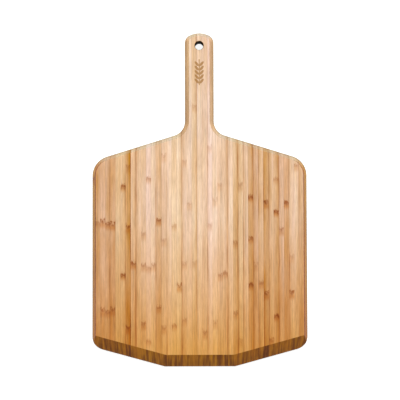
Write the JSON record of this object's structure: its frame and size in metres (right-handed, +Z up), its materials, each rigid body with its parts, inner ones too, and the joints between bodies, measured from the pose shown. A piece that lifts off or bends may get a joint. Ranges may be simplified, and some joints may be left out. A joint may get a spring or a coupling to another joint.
{
  "type": "pizza peel",
  "caption": "Flat bamboo pizza peel with a bevelled front edge, chamfered sides, sloping shoulders, a short straight handle and a hanging hole, made of upright strips glued edge to edge.",
  "frame": {"origin": "centre of the bounding box's footprint, on the underside", "axes": "+Z up out of the serving face, +Y along the strips from the front edge to the handle, +X across the blade"},
  "size_m": [0.3048, 0.475, 0.012],
  "materials": {
    "bamboo": "satin"
  },
  "bodies": {
    "root": {"strip_01": "bamboo", "strip_02": "bamboo", "strip_03": "bamboo", "strip_04": "bamboo", "strip_05": "bamboo", "strip_06": "bamboo", "strip_07": "bamboo", "strip_08": "bamboo", "strip_09": "bamboo", "strip_10": "bamboo", "strip_11": "bamboo", "strip_12": "bamboo", "strip_13": "bamboo", "strip_14": "bamboo", "strip_15": "bamboo", "strip_16": "bamboo", "strip_17": "bamboo", "strip_18": "bamboo", "strip_19": "bamboo", "strip_20": "bamboo", "strip_21": "bamboo", "strip_22": "bamboo", "strip_23": "bamboo", "strip_24": "bamboo", "strip_25": "bamboo", "strip_26": "bamboo", "strip_27": "bamboo", "strip_28": "bamboo", "strip_29": "bamboo", "strip_30": "bamboo", "strip_31": "bamboo", "strip_32": "bamboo", "strip_33": "bamboo", "strip_34": "bamboo", "strip_35": "bamboo", "strip_36": "bamboo", "strip_37": "bamboo", "strip_38": "bamboo", "strip_39": "bamboo", "strip_40": "bamboo", "strip_41": "bamboo", "strip_42": "bamboo", "strip_43": "bamboo"}
  },
  "joints": []
}
